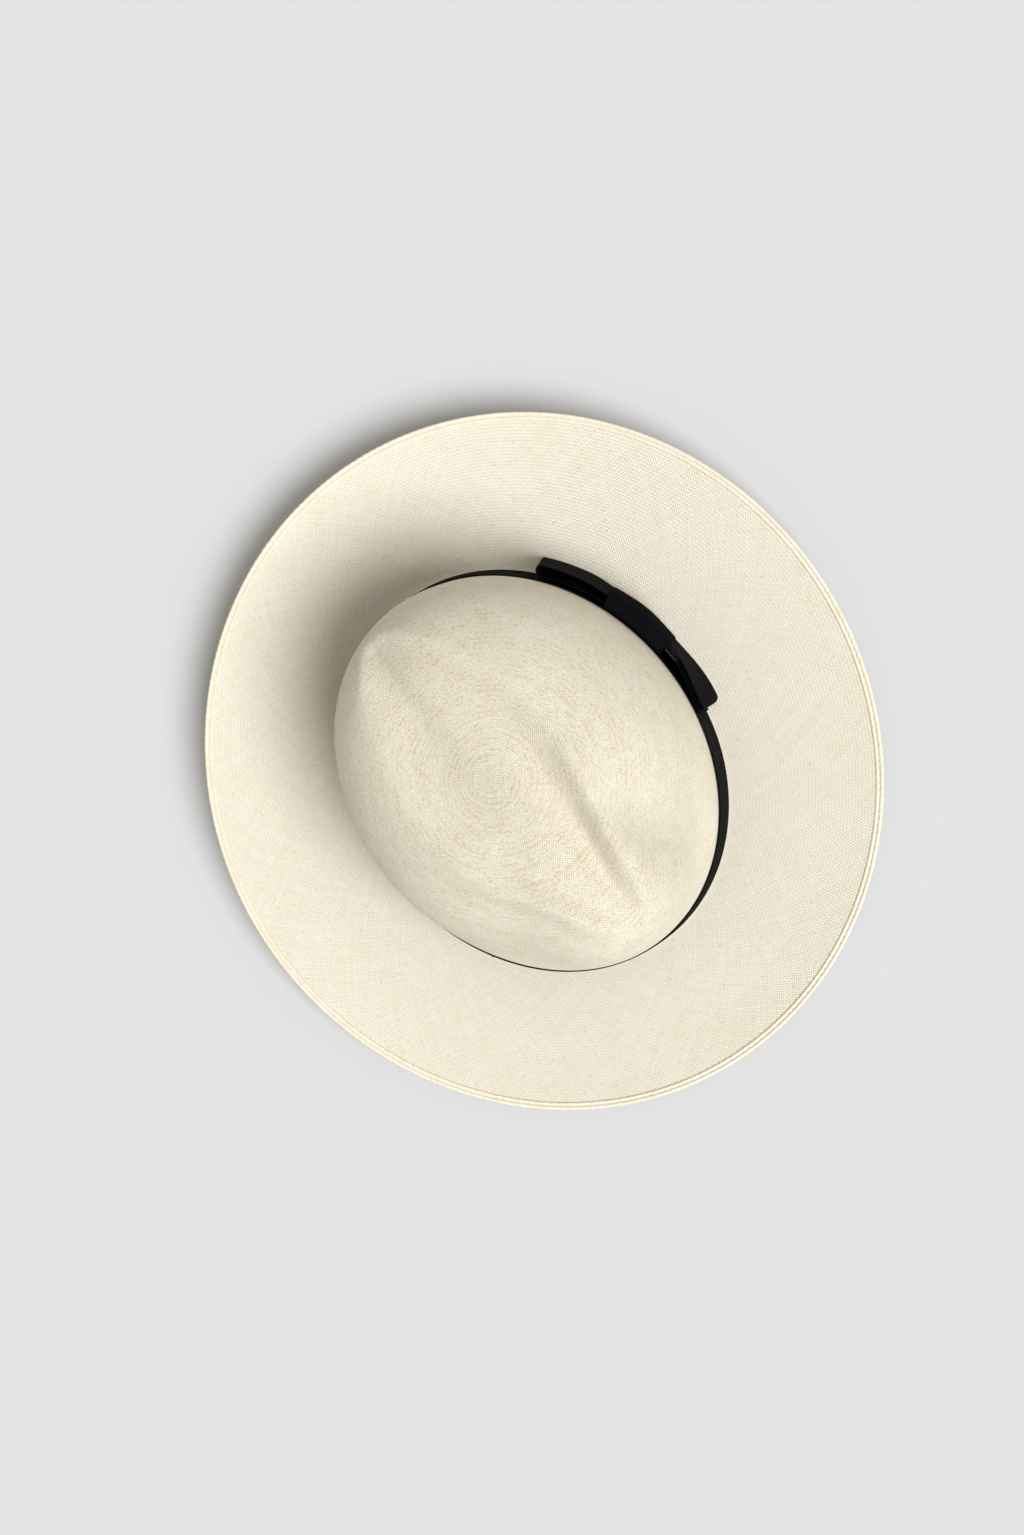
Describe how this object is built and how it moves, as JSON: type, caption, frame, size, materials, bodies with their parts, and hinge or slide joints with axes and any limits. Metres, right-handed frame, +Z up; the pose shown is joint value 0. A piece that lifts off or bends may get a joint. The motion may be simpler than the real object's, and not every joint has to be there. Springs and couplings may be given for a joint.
{
  "type": "panama hat",
  "caption": "Woven palm-straw fedora with a teardrop-creased crown, wide gently curled brim, black grosgrain band with side bow, and inner sweatband.",
  "frame": {"origin": "centre of the brim's outline, on the surface the hat stands on", "axes": "+Z up out of the crown; the front of the hat points along -Y; +X is the wearer's left, the side with the bow"},
  "size_m": [0.3238, 0.3443, 0.1094],
  "materials": {
    "straw": "matt hand-woven palm straw, ivory",
    "braid_straw": "matt plaited palm straw, slightly darker",
    "grosgrain": "black ribbed ribbon with a low sheen",
    "black_thread": "sewing thread",
    "sweat_leather": "tan smooth leather",
    "reed": "plain cord",
    "tape": "woven cotton tape",
    "pale_thread": "sewing thread",
    "inner_ribbon": "narrow satin ribbon"
  },
  "bodies": {
    "root": {"straw_body": "straw", "brim_edge_braid": "braid_straw", "band_ribbon": "grosgrain", "band_lap": "grosgrain", "bow_back_loop": "grosgrain", "bow_front_loop": "grosgrain", "bow_tail": "grosgrain", "bow_keeper": "grosgrain", "band_tacks": "black_thread", "sweatband": "sweat_leather", "sweatband_reed": "reed", "reed_tape": "tape", "sweatband_seam": "pale_thread", "sweatband_bow": "inner_ribbon"}
  },
  "joints": []
}
